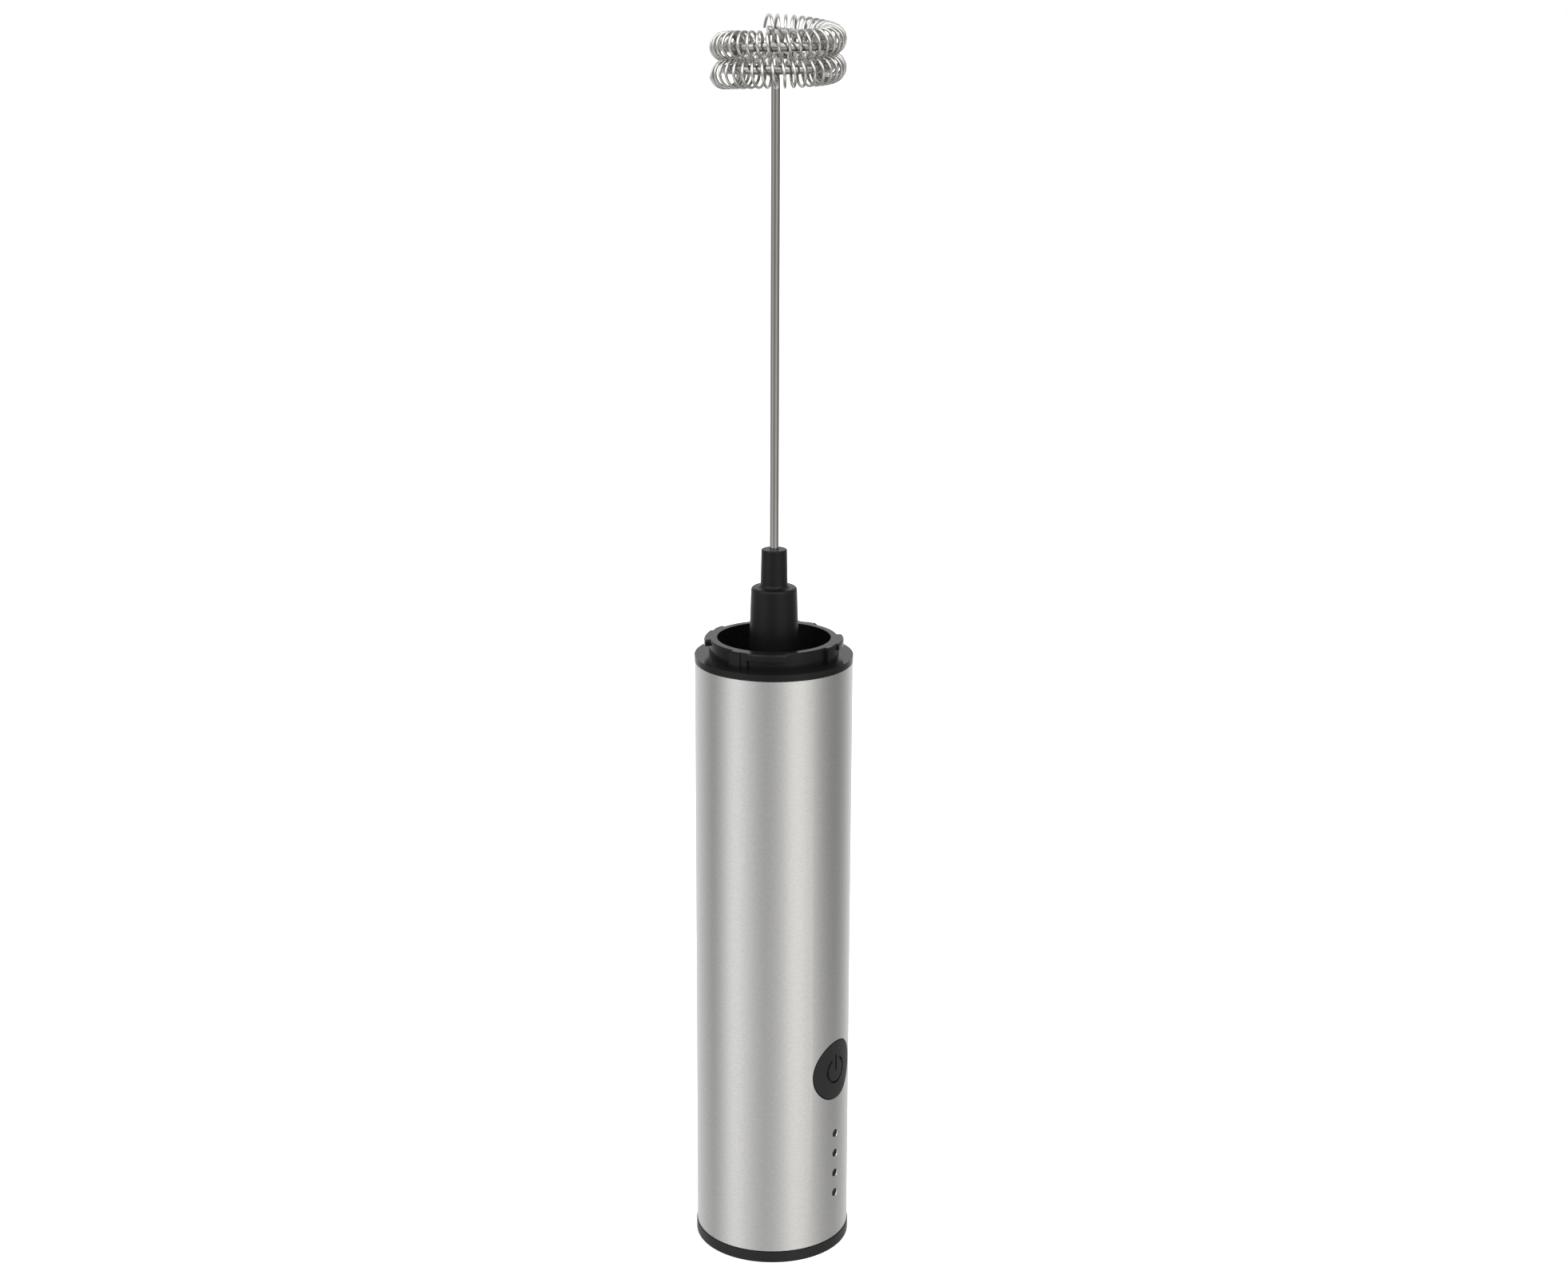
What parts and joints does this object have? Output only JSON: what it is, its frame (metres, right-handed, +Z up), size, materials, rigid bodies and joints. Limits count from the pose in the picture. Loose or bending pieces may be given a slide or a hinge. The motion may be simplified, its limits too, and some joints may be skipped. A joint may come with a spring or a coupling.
{
  "type": "handheld milk frother",
  "caption": "Handheld rechargeable milk frother: steel tube handle with button and lights, collar with bayonet lugs, and a rod whisk with a coiled spring ring.",
  "frame": {"origin": "middle of the base cap's bottom face, on the handle's axis", "axes": "+Z up the handle towards the whisk, the button and lights face -Y"},
  "size_m": [0.0322, 0.0322, 0.2537],
  "materials": {
    "tube_steel": "brushed round the handle",
    "cap_plastic": "satin moulded",
    "collar_plastic": "polished moulded",
    "hub_plastic": "satin moulded",
    "rod_steel": "drawn and polished",
    "spring_steel": "drawn and polished",
    "button_plastic": "soft matte",
    "light_lens": "smoked, polished",
    "seal_rubber": "moulded",
    "screw_steel": "zinc plated",
    "switch_metal": "stamped",
    "plunger_plastic": "moulded",
    "led_plastic": "clear resin over a pale base",
    "board_laminate": "solder mask",
    "chip_plastic": "moulded",
    "capacitor_ceramic": "fired ceramic",
    "inductor_ferrite": "sintered",
    "socket_steel": "nickel plated",
    "lead_plastic": "extruded insulation",
    "contact_metal": "nickel plated strip",
    "cell_wrap": "shrunk film",
    "chassis_plastic": "moulded",
    "motor_steel": "drawn and plated",
    "motor_plastic": "moulded",
    "bearing_bronze": "sintered",
    "magnet_ferrite": "sintered",
    "shaft_steel": "ground",
    "core_steel": "stacked sheet",
    "winding_copper": "enamelled wire"
  },
  "bodies": {
    "handle": {"handle_tube": "tube_steel", "base_cap": "cap_plastic", "cap_seal": "seal_rubber", "top_collar": "collar_plastic", "collar_seal": "seal_rubber", "shaft_seal": "seal_rubber", "motor_screws": "screw_steel", "base_screws": "screw_steel", "charge_board_screws": "screw_steel", "board_screws": "screw_steel", "chassis_screws": "screw_steel", "switch_body": "switch_metal", "light_guide": "light_lens", "indicator_leds": "led_plastic", "circuit_board": "board_laminate", "control_chip": "chip_plastic", "charge_chip": "chip_plastic", "motor_transistor": "chip_plastic", "small_capacitors": "capacitor_ceramic", "power_inductor": "inductor_ferrite", "charging_board": "board_laminate", "usb_shell": "socket_steel", "usb_tongue": "chip_plastic", "motor_leads": "lead_plastic", "cell_leads": "lead_plastic", "link_pins": "contact_metal", "battery_cell": "cell_wrap", "cell_tab_top": "contact_metal", "cell_tab_bottom": "contact_metal", "chassis_back": "chassis_plastic", "chassis_front": "chassis_plastic", "motor_can": "motor_steel", "motor_end_cap": "motor_plastic", "front_bearing": "bearing_bronze", "rear_bearing": "bearing_bronze", "motor_magnets": "magnet_ferrite", "motor_brushes": "contact_metal", "motor_terminals": "contact_metal"},
    "rotor": {"motor_shaft": "shaft_steel", "armature_core": "core_steel", "armature_windings": "winding_copper", "commutator": "winding_copper", "drive_spindle": "shaft_steel"},
    "whisk": {"whisk_hub": "hub_plastic", "whisk_rod": "rod_steel", "whisk_spring": "spring_steel"},
    "button": {"power_button": "button_plastic"},
    "plunger": {"switch_plunger": "plunger_plastic"}
  },
  "joints": [
    {"name": "rotor_spin", "type": "hinge", "parent": "handle", "child": "rotor", "pos_m": [0, 0, 0.125], "axis": [0, 0, 1], "continuous": true},
    {"name": "whisk_pull", "type": "slide", "parent": "rotor", "child": "whisk", "axis": [0, 0, 1], "range_m": [0, 0.02]},
    {"name": "button_press", "type": "slide", "parent": "handle", "child": "button", "axis": [0, 1, 0], "range_m": [0, 0.0003], "stiffness_N_per_m": 2000, "springref_m": -0.0005},
    {"name": "plunger_press", "type": "slide", "parent": "handle", "child": "plunger", "axis": [0, 1, 0], "range_m": [0, 0.0003]}
  ],
  "couplings": [
    {"joint": "plunger_press", "follows": "button_press", "ratio": 1}
  ]
}
